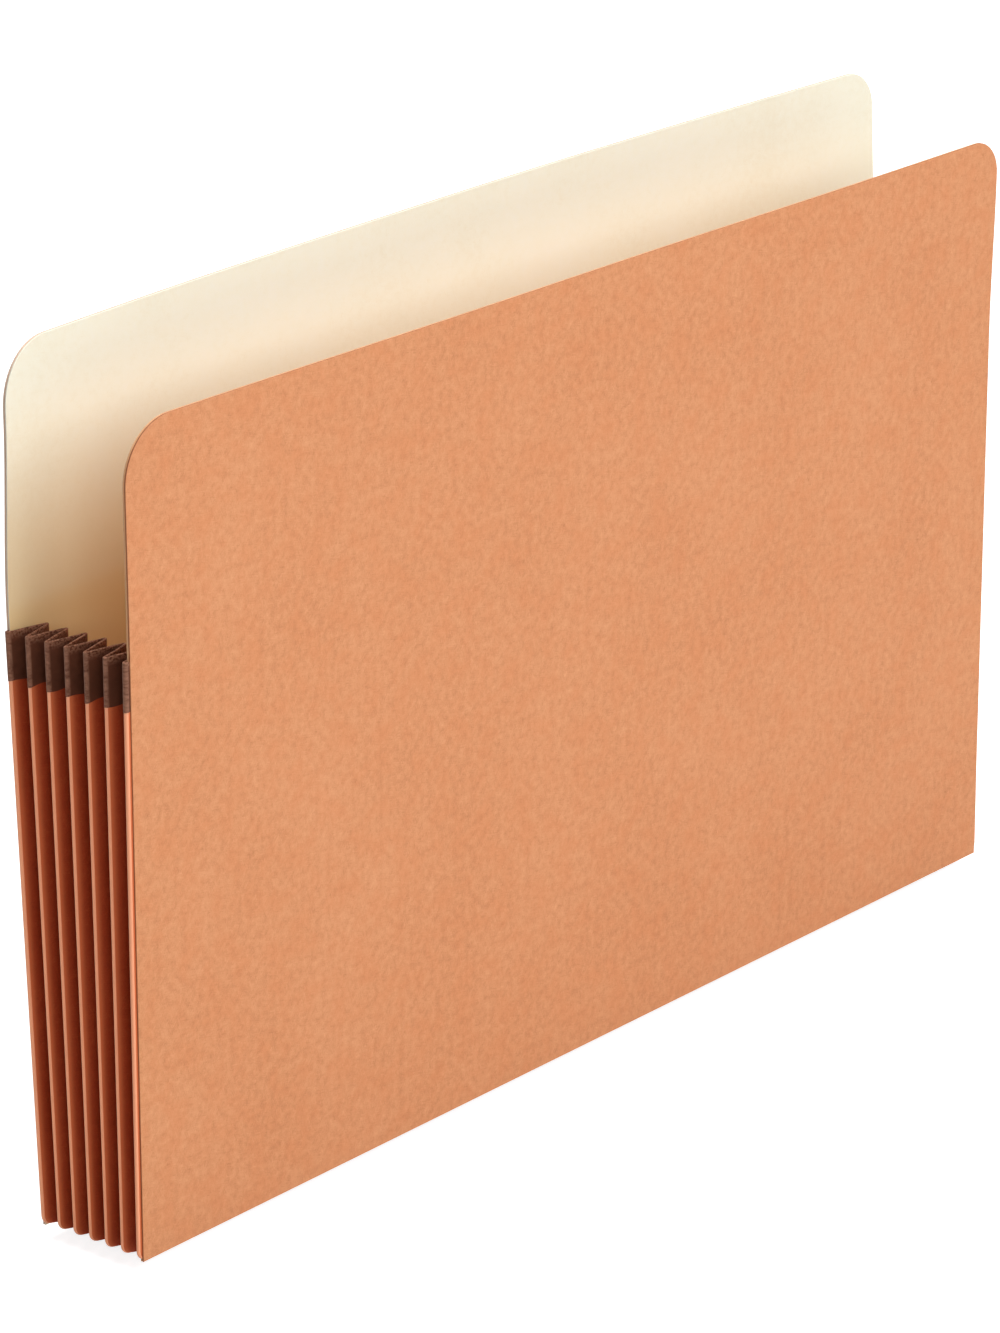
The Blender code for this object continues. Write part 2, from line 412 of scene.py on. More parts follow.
@dataclass(frozen=True)
class WovenTape(Finish):
    """Cloth binding tape: a fine plain weave, with flecks where the folds and edges have worn."""

    name: str
    dark: Colour
    base: Colour
    fleck: Colour
    thread: float = 0.0005  # from one thread to the next
    mottle_size: float = 0.0022
    grain_size: float = 0.0006
    weave_share: float = 0.4  # of the weave in the tone, where the rest is mottling
    tones: tuple[float, float] = (0.25, 0.7)  # at which dark and base are pure
    fold_wear: Span = (0.85, 0.99)  # of the crease mask
    grain_share: float = 0.4  # of the grain in a fold's flecks, where the rest is mottling
    fold_flecks: Span = (0.2, 0.7)  # of that mix
    edge_flecks: Span = (0.35, 0.6)  # of the grain
    wear: float = 0.75  # depth of the flecks
    relief_share: float = 0.3  # of the grain in the relief, where the rest is weave
    roughness: float = 0.62
    shine: float = 0.2
    shine_swing: float = 0.2  # swing of the roughness
    relief: float = 0.00004

    def draw(self, graph: Graph) -> None:
        """Fill the graph, which reads the tape's own map and masks.

        The weave is one half plus half the product of two sines, one across and one along the tape.

        Args:
            graph: the material's graph.
        """
        at = graph.paper_map()
        turn = 2 * math.pi / self.thread
        across, along = (graph.math("SINE", place * turn) for place in graph.split(at))
        weave = 0.5 + across * along * 0.5
        mottle = graph.noise(at, self.mottle_size, detail=4, roughness=0.65)
        grain = graph.noise(at, self.grain_size, detail=2)
        tone = mottle * (1 - self.weave_share) + weave * self.weave_share
        colour = graph.ramp(tone, list(zip(self.tones, (self.dark, self.base))))
        fold = graph.between(graph.mask(CREASE_AND_PAINTED_SHADE_MASK), *self.fold_wear)
        flecks = mottle * (1 - self.grain_share) + grain * self.grain_share
        worn_fold = fold * graph.between(flecks, *self.fold_flecks)
        worn_edge = graph.mask(RIM_MASK) * graph.between(grain, *self.edge_flecks)
        wear = graph.math("MAXIMUM", worn_fold, worn_edge)
        height = weave * (1 - self.relief_share) + grain * self.relief_share
        graph.surface(
            {
                "Base Color": graph.mix(wear * self.wear, colour, self.fleck),
                "Roughness": self.roughness + (grain - 0.5) * self.shine_swing,
                "Specular IOR Level": self.shine,
                "Normal": graph.bump(height, self.relief),
            }
        )


@dataclass(frozen=True)
class PaleFloor(Finish):
    """A white floor that takes a soft shadow, and that the camera sees as white elsewhere."""

    name: str = "pale_floor"
    albedo: float = 0.6
    roughness: float = 0.9
    lift: float = 0.84  # light that only the camera and reflections see

    def draw(self, graph: Graph) -> None:
        """Fill the graph.

        Args:
            graph: the material's graph.
        """
        seen = seen_rays(graph) * self.lift
        glow = graph.node("ShaderNodeCombineColor", {}, {0: seen, 1: seen, 2: seen})
        graph.surface(
            {
                "Base Color": (self.albedo, self.albedo, self.albedo, 1),
                "Roughness": self.roughness,
                "Specular IOR Level": 0.0,
                "Emission Color": glow,
                "Emission Strength": 1.0,
            }
        )


def seen_rays(graph: Graph) -> Value:
    """1 for camera, glossy and transmission rays, and 0 for the light that falls on things.

    Args:
        graph: the graph of the floor or of the surroundings.

    Returns:
        The sum of the three kinds of ray, at most 1.
    """
    path = graph.node("ShaderNodeLightPath")
    outputs = path.socket.node.outputs
    camera, glossy, through = (
        Value(graph, outputs[f"Is {kind} Ray"]) for kind in ("Camera", "Glossy", "Transmission")
    )
    return graph.math("MINIMUM", camera + glossy + through, 1.0)


def joint_of(child: str) -> dict[str, Any]:
    """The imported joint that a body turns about."""
    return next(joint for joint in frame["joints"] if joint["child"] == child)


def crease_direction(child: str) -> Array:
    """Unit vector up a side crease, or along +X on the bottom."""
    axis = np.array(joint_of(child)["axis"], dtype=float)
    return axis / np.linalg.norm(axis) * np.sign(axis.sum())


def smooth_step(value: Array) -> Array:
    """Three value squared minus two value cubed, between 0 and 1."""
    held = np.clip(value, 0, 1)
    return held * held * (3 - 2 * held)


def rim_indices(rows: int, columns: int) -> Array:
    """Point numbers round the rim of a grid, once round."""
    index = np.arange(rows * columns).reshape(rows, columns)
    return np.concatenate([index[0, :-1], index[:-1, -1], index[-1, :0:-1], index[:0:-1, 0]])


@dataclass
class Sheet:
    """A thin closed sheet: two faces on one grid, joined round their rim through rings of points."""

    front: Array  # rows, columns, 3
    back: Array
    rings: list[Array]  # each with one point for every point of the rim
    paper_map: Array  # rows, columns, 2
    crease: Array  # rows, columns; on the back lining, its painted warm shade
    edge: Array  # rows, columns

    def points(self) -> Array:
        """All points: the front face, the back face and the rings."""
        parts = [self.front.reshape(-1, 3), self.back.reshape(-1, 3), *self.rings]
        return np.concatenate(parts)

    def _rim(self) -> Array:
        """Point numbers of the front face's rim."""
        return rim_indices(*self.front.shape[:2])

    def quads(self) -> Array:
        """All faces, pointing outwards.

        The faces are the quads of each grid and a strip of quads from each loop of the rim to the
        next. If the enclosed volume, the sum of every triangle's corner triple product, comes out
        negative, all of them are turned round.

        Returns:
            Four point numbers for each face.
        """
        rows, columns = self.front.shape[:2]
        count = rows * columns
        corner = (np.arange(rows - 1)[:, None] * columns + np.arange(columns - 1)).ravel()
        face = np.stack([corner, corner + 1, corner + columns + 1, corner + columns], axis=1)
        rim = self._rim()
        starts = 2 * count + len(rim) * np.arange(len(self.rings))
        loops = [rim, *(start + np.arange(len(rim)) for start in starts), rim + count]
        strips = [
            np.stack([here, there, np.roll(there, -1), np.roll(here, -1)], axis=1)
            for here, there in zip(loops, loops[1:])
        ]
        quads = np.concatenate([face, face[:, ::-1] + count, *strips])
        a, b, c, d = self.points()[quads].transpose(1, 0, 2)
        volume = np.einsum("ij,ij->", a, np.cross(b, c) + np.cross(c, d))
        return quads if volume > 0 else quads[:, ::-1]

    def spread(self, grid: Array) -> Array:
        """Values of all points, from those of the grid."""
        flat = grid.reshape(self.crease.size, -1)
        return np.concatenate([flat, flat, *([flat[self._rim()]] * len(self.rings))])

    def masks(self) -> dict[str, Array]:
        """The crease and rim masks of all points, where the rings lie wholly on the rim.

        Returns:
            The values of each mask.
        """
        rim = self.spread(self.edge)
        rim[2 * self.edge.size :] = 1
        return {CREASE_AND_PAINTED_SHADE_MASK: self.spread(self.crease), RIM_MASK: rim}

    def build(self, name: str, material: bpy.types.Material) -> bpy.types.Object:
        """Make the object.

        Args:
            name: the piece's name.
            material: its finish.

        Returns:
            The piece, at the origin.
        """
        quads = self.quads()
        mesh = bpy.data.meshes.new(name)
        mesh.from_pydata(self.points(), [], quads)
        for mask, values in self.masks().items():
            layer = mesh.attributes.new(mask, "FLOAT", "POINT")
            layer.data.foreach_set("value", values.astype(np.float32).ravel())
        corners = self.spread(self.paper_map)[quads.ravel()]
        unfolded = mesh.uv_layers.new(name=PAPER_MAP)
        unfolded.data.foreach_set("uv", corners.astype(np.float32).ravel())
        mesh.materials.append(material)
        mesh.shade_smooth()
        mesh.set_sharp_from_angle(angle=SHARP_EDGE)
        piece = bpy.data.objects.new(name, mesh)
        bpy.context.scene.collection.objects.link(piece)
        return piece


@dataclass
class Finishes:
    """The finish of every paper and of the tape."""

    kraft: bpy.types.Material
    back_kraft: bpy.types.Material
    inner_kraft: bpy.types.Material
    cream: bpy.types.Material
    gusset: bpy.types.Material
    tape: bpy.types.Material

    @classmethod
    def make(cls) -> Finishes:
        """Build the finishes.

        Returns:
            The finishes, ready to use.
        """
        kraft = Paper(
            name="kraft_board",
            dark=(0.54, 0.2, 0.083),
            base=(0.68, 0.29, 0.131),
            pale=(0.765, 0.363, 0.185),
            flush=(0.685, 0.232, 0.088),
            rubbed=(0.8, 0.42, 0.25),
            worn=(0.8, 0.42, 0.25),
            edge=(0.26, 0.085, 0.032),
            mottling=0.62,
            cloudiness=0.2,
            fibres=0.1,
            relief=0.000016,
        )
        cream = Paper(
            name="cream_lining",
            dark=(0.88, 0.84, 0.65),
            base=(0.945, 0.94, 0.785),
            pale=(0.955, 0.96, 0.85),
            flush=(0.935, 0.915, 0.745),
            # Painted warm shade: the colour that the crease mask mixes into the back lining by the
            # gusset.
            rubbed=(0.895, 0.69, 0.36),
            worn=(0.895, 0.69, 0.36),
            edge=(0.64, 0.57, 0.48),
            mottling=0.35,
            cloudiness=0.4,
            fibres=0.06,
            roughness=0.66,
            relief=0.000015,
        )
        gusset = Paper(
            name="gusset_paper",
            dark=(0.31, 0.035, 0.006),
            base=(0.395, 0.049, 0.0092),
            pale=(0.455, 0.077, 0.0187),
            flush=(0.365, 0.042, 0.0077),
            # Paler near and on each fold: partly wear, partly a painted highlight that stands for the
            # light on the ridges.
            rubbed=(0.77, 0.2, 0.07),
            worn=(0.99, 0.41, 0.225),
            edge=(0.62, 0.3, 0.17),
            mottling=0.5,
            cloudiness=0.25,
            fibres=0.12,
        )
        tape = WovenTape(
            name="binding_tape",
            dark=(0.072, 0.02, 0.0085),
            base=(0.118, 0.036, 0.0165),
            fleck=(0.36, 0.17, 0.105),
        )
        back_kraft = replace(kraft, name="back_kraft_board", edge=(0.64, 0.56, 0.47))
        inner_kraft = replace(
            kraft,
            name="inner_kraft_board",
            dark=(0.6, 0.285, 0.12),
            base=(0.74, 0.38, 0.175),
            pale=(0.82, 0.455, 0.235),
            edge=(0.62, 0.36, 0.2),
        )
        return cls(
            kraft=kraft.build(),
            back_kraft=back_kraft.build(),
            inner_kraft=inner_kraft.build(),
            cream=cream.build(),
            gusset=gusset.build(),
            tape=tape.build(),
        )


@dataclass
class Panel:
    """A panel of two plies, square at its foot and rounded at its top corners."""

    side: Side
    finishes: Finishes
    left_radius: float = 0.0165  # of the rounded top corners
    right_radius: float = 0.0108
    right_drop: float = 0.0  # how much lower the top edge is at its right end
    cut_round: float = 0.00012  # how far the cut edge is rounded
    columns: int = 72
    straight_rows: int = 46
    corner_rows: int = 16
    give_share: float = 0.85  # of the height above the gusset, over which the lean and the bow grow
    left_lean: float = 0.0  # how far the free left corner leans out
    right_lean: float = 0.0  # how far the free right corner leans out
    bow: float = 0.0  # how far the free top edge bows out between its corners
    ripple: float = 0.00015  # unevenness of the board
    foot_height: float = 0.04  # over which the unevenness grows from nothing
    wave_phase: float = 1.3
    first_wave: tuple[float, float] = (38, 21)  # wave numbers along X and Z
    second_wave: tuple[float, float] = (-27, 61)
    second_share: float = 0.6  # height of the second wave
    toning_start: float = 0.005  # how far under the gusset's top the lining's painted warm shade begins to fade
    toning_run: float = 0.072  # over which it fades
    ply_gap: float = 0.00001  # from each ply to the seam between them
    map_step: float = 0.5  # offset of a panel's pattern
    lining_map_step: float = 0.2  # further offset of its lining's

    def __post_init__(self) -> None:
        """Read the plies' sizes from the front panel, and the panel's place from its own cover."""
        cover_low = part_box("front_cover")[0]
        lining_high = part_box("front_lining")[1]
        self.thickness = lining_high.y - cover_low.y
        self.seam = self.thickness / 2
        own_low, own_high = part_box(f"{self.side.body}_cover")
        self.width = own_high.x - own_low.x
        self.up = crease_direction(self.side.first_crease)
        self.height = own_high.z / self.up[2]
        self.inward = np.array([0, -self.side.value * self.up[2], self.side.value * self.up[1]])
        self.foot = own_high.y - self.up[1] * self.height if self.side is Side.BACK else own_low.y

    def outline_grid(self, inset: float) -> tuple[Array, Array]:
        """X and Z of the panel's grid.

        Each row runs from side to side at the same share of the height. Below the corners it is
        level and has the full width. In a corner of radius R the row's end at angle a is
        r cos a beyond the arc's centre and r sin a above it, where r is R less the inset. Between
        its ends a row goes straight.

        Args:
            inset: how far the outline is drawn in.

        Returns:
            Two arrays of rows by columns.
        """
        across = np.linspace(0, 1, self.columns)
        ends = []
        right_height = self.height - self.right_drop
        for side, radius, height in (
            (-1, self.left_radius, self.height),
            (1, self.right_radius, right_height),
        ):
            angle = np.linspace(0, np.pi / 2, self.corner_rows)[1:]
            straight = np.linspace(inset, height - radius, self.straight_rows)
            upright = np.full(straight.shape, self.width / 2 - inset)
            x = np.concatenate([upright, self.width / 2 - radius + (radius - inset) * np.cos(angle)])
            z = np.concatenate([straight, height - radius + (radius - inset) * np.sin(angle)])
            ends.append((side * x, z))
        (left_x, left_z), (right_x, right_z) = ends
        x = left_x[:, None] * (1 - across) + right_x[:, None] * across
        z = left_z[:, None] * (1 - across) + right_z[:, None] * across
        return x, z

    def give(self, x: Array, z: Array) -> Array:
        """How far the panel stands out from its plane.

        Above the gusset's top the offset grows by a smooth step, and is whole a little below the
        top edge. It is a lean that goes evenly from the left corner's to the right one's, plus a
        bow that follows a parabola between the corners. A ripple of long sine waves is added
        everywhere but at the sides and the foot.

        Args:
            x: places along the panel.
            z: heights.

        Returns:
            Offsets away from the middle plane.
        """
        lift = smooth_step((z - GUSSET_TOP) / (self.give_share * (self.height - GUSSET_TOP)))
        across = 2 * x / self.width
        splay = self.left_lean * (1 - across) / 2 + self.right_lean * (1 + across) / 2
        splay = splay + self.bow * (1 - across**2)
        phase = self.wave_phase * self.side.value
        first = np.sin(self.first_wave[0] * x + self.first_wave[1] * z + phase)
        second = np.sin(self.second_wave[0] * x + self.second_wave[1] * z + 2 * phase)
        held = (1 - across**4) * smooth_step(z / self.foot_height)
        return lift * splay + self.ripple * (first + self.second_share * second) * held

    def face(self, inset: float, depth: float) -> Array:
        """Grid of points on one face of a ply.

        Each point stands on the panel's plane at its place along the foot and its height up the
        slope, and goes in square to the plane by the depth less what the panel stands out there.

        Args:
            inset: how far its outline is drawn in.
            depth: distance from the panel's outer face.

        Returns:
            Points as rows, columns, 3.
        """
        x, z = self.outline_grid(inset)
        in_by = depth - self.give(x, z)
        flat = np.stack([x, np.full(x.shape, self.foot), np.zeros(x.shape)], axis=-1)
        return flat + in_by[..., None] * self.inward + z[..., None] * self.up

    def toning(self, z: Array) -> Array:
        """How much painted warm shade the lining gets: the root of a smooth fall from 1 by the gusset to
        0 above.
        """
        return np.sqrt(1 - smooth_step((z - GUSSET_TOP + self.toning_start) / self.toning_run))

    def ply(
        self,
        name: str,
        outer: float,
        inner: float,
        finish: bpy.types.Material,
        with_painted_shade: bool = False,
    ) -> bpy.types.Object:
        """One ply, with its cut edge slightly rounded.

        Its faces are drawn in by the rounding, and two rings of the full outline lie between them, at
        a third and two thirds of the thickness.

        Args:
            name: the piece's name.
            outer: distance of its outer face from the panel's outer face.
            inner: distance of its inner face.
            finish: its paper.
            with_painted_shade: whether it gets the painted warm shade by the gusset.

        Returns:
            The piece.
        """
        front = self.face(self.cut_round, outer)
        back = self.face(self.cut_round, inner)
        third = (inner - outer) / 3
        rings = [self.face(0, depth).reshape(-1, 3) for depth in (outer + third, inner - third)]
        rim = rim_indices(*front.shape[:2])
        x, z = self.outline_grid(0)
        offset = self.map_step * self.side.value + (self.lining_map_step if outer > 0 else 0)
        sheet = Sheet(
            front=front,
            back=back,
            rings=[ring[rim] for ring in rings],
            paper_map=np.stack([x + offset, z + offset], axis=-1),
            # On the back lining the crease mask carries its painted warm shade by the gusset.
            crease=with_painted_shade * self.toning(z),
            edge=np.zeros(x.shape),
        )
        return sheet.build(name, finish)

    def build(self) -> list[bpy.types.Object]:
        """Make both plies and put them on their body.

        Returns:
            The pieces.
        """
        body = self.side.body
        board, paper, paper_slot = self.finishes.back_kraft, self.finishes.cream, "cream_lining"
        if self.side is Side.FRONT:
            board, paper, paper_slot = self.finishes.kraft, self.finishes.inner_kraft, "kraft_board"
        cover = self.ply(f"{body}_cover_board", 0.0, self.seam - self.ply_gap, board)
        # Only the back lining gets the painted warm shade.
        with_painted_shade = self.side is Side.BACK
        lining = self.ply(f"{body}_lining_paper", self.seam + self.ply_gap, self.thickness, paper, with_painted_shade)
        for piece, node, slot in (
            (cover, f"{body}_cover", "kraft_board"),
            (lining, f"{body}_lining", paper_slot),
        ):
            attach(piece, body)
            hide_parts(node)
        return [cover, lining]


@dataclass
class FoldPath:
    """The paper's middle line over one crease, from half-way along a leaf to half-way along the next."""

    inward: Array  # distance from the outer creases into the pocket
    forward: Array  # distance from the first crease towards the front panel
    normal: Array  # unit normals, as inward and forward
    unfolded: Array  # distance along the paper from the first crease
    crease: Array  # 1 on the fold
    leaf: Array  # number of the leaf that each point is on
    belly: Array  # 0 at a leaf's creases, 1 half-way


@dataclass
class Gusset:
    """One stretch of the pleated gusset, drawn as one piece of paper over each crease.

    A piece follows the leaf behind its crease and the leaf before it, and bends between them. The
    bend is an arc about the crease's axis.
    """

    stretch: Stretch
    finishes: Finishes
    leaves: int = 12
    leaf_pitch: float = 0.00058
    thickness: float = 0.00028
    top_fall: float = 0.001  # how much lower the top edge is at the back
    corner_radius: float = 0.003  # where an outer crease turns from side to bottom
    mitre_gap: float = 0.0004
    flap_thickness: float = 0.0002  # of a corner's spare paper
    flap_clearance: float = 0.0003  # from the middle of the leaves that it lies on
    flap_reach: float = 0.33  # how near it comes to the outer crease, as a share of its height
    flap_spare: float = 0.2  # how much higher than the leaf it is at its outer end
    flap_columns: int = 8
    flap_rows: int = 12
    flange_run: float = 0.006  # of the strip that goes in between the plies
    tape_height: float = 0.0135
    tape_thickness: float = 0.0001
    tape_wander: float = 0.00025  # unevenness of the tape's lower edge
    tape_bend: float = 0.012  # share of the tape's height over which its top edge is rounded
    tape_waves: tuple[float, float] = (310, 830)  # wave numbers along that edge
    ripple: float = 0.00011  # unevenness of a leaf
    long_wave: float = 52.0  # wave numbers along a leaf
    short_wave: float = 121.0
    short_share: float = 0.7  # height of the short wave
    short_turn: float = 2.1  # its phase, in phases of the long wave
    leaf_phase: float = 2.4  # from leaf to leaf
    stretch_phase: float = 1.7  # from stretch to stretch
    crease_fade: float = 0.003  # how far from a fold its wear and painted highlight show
    leaf_end: float = 0.05  # where the leaf's half of a split fold ends, in lengths of its arc
    panel_start: float = -0.45  # where the panel's half starts
    panel_shrink: float = 0.9  # radius of its part under the leaf's half
    map_step: float = 0.31  # offset of a stretch's pattern
    map_height: float = 0.4
    leaf_steps: int = 5
    arc_steps: int = 12
    corner_rows: int = 10
    rows: int = 44
    tape_rows: int = 12
    floor: float = 0.0002  # clearance under the folds
    tuck: float = 0.0  # how far a side's upper part is drawn in
    tuck_height: float = 0.06  # over which it is drawn in more and more
    tape_room: float = 3.0  # from the top edge down to the paper's, in thicknesses of the tape
    corner_fade: float = 3.0  # how far beside a crease the paper follows its corner, in radii

    def __post_init__(self) -> None:
        """Read the creases from the joints, and the angle of the leaves from the creases."""
        names = [self.leaf_name(number) for number in range(1, self.leaves + 1)]
        axes = np.array([joint_of(name)["pos_m"] for name in names])
        inward = {
            Stretch.LEFT: axes[:, 0] - axes[0, 0],
            Stretch.RIGHT: axes[0, 0] - axes[:, 0],
            Stretch.BOTTOM: axes[:, 2] - axes[0, 2],
        }[self.stretch]
        self.first = axes[0]
        forward = axes[0, 1] - axes[:, 1]
        pair = np.array([inward[2] - inward[0], forward[2] - forward[0]])
        creases = np.stack([inward, forward], axis=1)
        self.creases = np.concatenate([creases, [creases[-2] + pair]])
        self.leaf_width = math.sqrt(self.creases[1] @ self.creases[1] - self.leaf_pitch**2)
        slant = math.atan2(self.leaf_pitch, self.leaf_width)
        self.angle = math.atan2(self.creases[1, 1], self.creases[1, 0]) - slant
        flange_low, flange_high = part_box("front_flange")
        front_crease = joint_of("front")["pos_m"]
        self.flange_offset = front_crease[1] - (flange_low.y + flange_high.y) / 2
        self.reach_out = abs(front_crease[0])
        lean = crease_direction("left_leaf_01")
        self.fan_depth = self.creases[-1, 1] * lean[2] / lean[1]
        self.back_slope = lean[1] / lean[2] if self.stretch is Stretch.BOTTOM else 0.0

    def leaf_name(self, number: int) -> str:
        """Name of the body of a leaf or a panel.

        Args:
            number: the leaf, or 0 for the back panel and one past the last for the front panel.

        Returns:
            The body's name.
        """
        if number == 0:
            return Side.BACK.body
        if number > self.leaves:
            return Side.FRONT.body
        return f"{self.stretch.label}_leaf_{number:02d}"

    def _leaf_line(self, number: int, shares: Array, fold: int) -> tuple[Array, Array]:
        """Points along a leaf's middle plane, and its normal.

        The leaf starts half a pitch across from its first crease and runs straight, at the rest
        angle to the panels. Odd leaves run inwards, even ones back out.

        Args:
            number: the leaf, or 0 or one past the last for a flange.
            shares: places from the leaf's first crease, 0, to its second, 1.
            fold: the crease that a flange belongs to.

        Returns:
            Points as inward and forward, and one normal.
        """
        if 1 <= number <= self.leaves:
            turn = 1 if number % 2 else -1
            reach = np.array([turn * math.cos(self.angle), math.sin(self.angle)])
            across = np.array([-turn * math.sin(self.angle), math.cos(self.angle)])
            start = self.creases[number - 1] + across * (self.leaf_pitch / 2)
            return start + shares[:, None] * reach * self.leaf_width, turn * across
        sense = -1 if number == 0 else 1
        start = self.creases[fold] + np.array([0, sense * self.flange_offset])
        run = np.abs(shares - (1 if number == 0 else 0)) * self.flange_run
        slope = self.back_slope if number == 0 else 0.0
        return start + run[:, None] * np.array([1, -slope]), np.array([0, sense])

    def fold_path(self, fold: int, part: FoldPart = FoldPart.WHOLE) -> FoldPath:
        """The paper's middle line over one crease.

        Half a leaf, an arc about the crease and half the next leaf. The arc's radius runs evenly
        from the distance of the first sheet to that of the second. It bulges outwards at even
        creases and inwards at odd ones. A half fold stops on the arc, and the panel's half starts
        a little early there, under the leaf's half. At the share s of a leaf its belly is 16 times s
        squared times (1 - s) squared, which is 1 half-way.

        Args:
            fold: number of the crease, from 0 at the back panel.
            part: the whole fold, or one half of it.

        Returns:
            The line and what is known along it.
        """
        half = np.linspace(0, 0.5, self.leaf_steps + 1)
        before_flange, after_flange = fold == 0, fold == self.leaves
        before_share = 2 * half if before_flange else 0.5 + half
        after_share = 2 * half if after_flange else half
        before, before_normal = self._leaf_line(fold, before_share, fold)
        after, after_normal = self._leaf_line(fold + 1, after_share, fold)
        start, end = before[-1] - self.creases[fold], after[0] - self.creases[fold]
        share = np.linspace(0, 1, self.arc_steps + 1)[1:-1]
        bulge = -1 if fold % 2 == 0 else 1
        turn_start = math.atan2(start[1], bulge * start[0])
        turn_end = math.atan2(end[1], bulge * end[0])
        turn = turn_start + (turn_end - turn_start) * share
        radial = np.stack([bulge * np.cos(turn), np.sin(turn)], axis=1)
        radius = np.linalg.norm(start) * (1 - share) + np.linalg.norm(end) * share
        if part is FoldPart.PANEL_HALF:
            radius = np.where(share < 0.5, self.panel_shrink * radius, radius)
        arc = self.creases[fold] + radius[:, None] * radial
        bend = (math.pi - 2 * self.angle) * self.leaf_pitch / 2
        before_run = self.flange_run if before_flange else self.leaf_width / 2
        after_run = self.flange_run if after_flange else self.leaf_width / 2
        local = np.concatenate(
            [
                -bend / 2 - before_run * np.linspace(1, 0, len(before)),
                bend * (share - 0.5),
                bend / 2 + after_run * np.linspace(0, 1, len(after)),
            ]
        )
        along_leaf = np.concatenate(
            [before_share * (not before_flange), np.zeros(len(arc)), after_share * (not after_flange)]
        )
        normals = [
            np.repeat(before_normal[None], len(before), axis=0),
            -bulge * radial,
            np.repeat(after_normal[None], len(after), axis=0),
        ]
        points = np.concatenate([before, arc, after])
        keep = {
            FoldPart.WHOLE: slice(None),
            FoldPart.LEAF_HALF: local <= self.leaf_end * bend,
            FoldPart.PANEL_HALF: local >= self.panel_start * bend,
        }[part]
        return FoldPath(
            inward=points[keep, 0],
            forward=points[keep, 1],
            normal=np.concatenate(normals)[keep],
            unfolded=fold * (self.leaf_width + bend) + local[keep],
            crease=1 - smooth_step((np.abs(local[keep]) - bend / 2) / self.crease_fade),
            leaf=np.where(local < HAIR - bend / 2, fold, fold + 1)[keep],
            belly=(16 * along_leaf**2 * (1 - along_leaf) ** 2)[keep],
        )

    def place(self, inward: Array, forward: Array, along: Array) -> Array:
        """World points from a stretch's own directions.

        On a side, distances inward and from the last crease grow with the height, as if all lines
        came from one point at the fan's depth under the last crease.

        Args:
            inward: distance from the outer creases into the pocket.
            forward: distance from the first crease towards the front.
            along: place along the creases.

        Returns:
            Points with X, Y and Z last.
        """
        if self.stretch is Stretch.BOTTOM:
            return np.stack([along, self.first[1] - forward, self.first[2] + inward], axis=-1)
        growth = 1 + along / self.fan_depth
        sense = 1 if self.stretch is Stretch.LEFT else -1
        behind = (self.creases[-1, 1] - forward) * growth
        y = self.first[1] - self.creases[-1, 1] + behind
        return np.stack([self.first[0] + sense * inward * growth, y, along], axis=-1)

    def top_edge(self, path: FoldPath) -> Array:
        """Height of a side's top edge, which falls evenly from the front to the back."""
        return GUSSET_TOP - self.top_fall * (1 - path.forward / self.creases[-1, 1])

    def side_rows(self, path: FoldPath) -> Array:
        """Heights of a side's points.

        Near the ground the rows stand at R (1 - cos a) for even angles a, as they do on a rounded
        corner. Above that they go evenly to the top, just under the fold of the tape.

        Args:
            path: the line.

        Returns:
            Heights as rows by points of the line.
        """
        turn = np.linspace(0, np.pi / 2, self.corner_rows)
        corner = self.floor + self.corner_radius * (1 - np.cos(turn))
        low = np.repeat(corner[:, None], len(path.inward), axis=1)
        share = np.linspace(0, 1, self.rows)[1:, None]
        top = self.top_edge(path) - self.tape_room * self.tape_thickness
        return np.concatenate([low, low[-1] + (top - low[-1]) * share])

    def bottom_rows(self, path: FoldPath) -> Array:
        """Places along a bottom fold, evenly from the mitre at one end to the mitre at the other.

        At a mitre a line stops as far from the outer crease as it is high, plus the gap there, and no
        nearer to it than the corner's radius.

        Args:
            path: the line.

        Returns:
            Places as rows by points of the line.
        """
        cut = np.maximum(path.inward + self.mitre_gap, self.corner_radius)
        share = np.linspace(-1, 1, self.rows)[:, None]
        return (self.reach_out - cut) * share

    def corner_shift(self, inward: Array, along: Array) -> Array:
        """How far a side's paper draws in where its outer creases turn to the bottom.

        The crease follows an arc: at the height v it is R minus the root of R squared minus (R - v)
        squared further in. The paper beside it follows less and less.

        Args:
            inward: distance from the outer creases.
            along: heights.

        Returns:
            Distances to add to inward.
        """
        radius = self.corner_radius
        drop = np.clip(radius - (along - self.floor), 0, radius)
        arc = radius - np.sqrt(radius**2 - drop**2)
        return arc * np.clip(1 - inward / (self.corner_fade * radius), 0, 1) ** 2

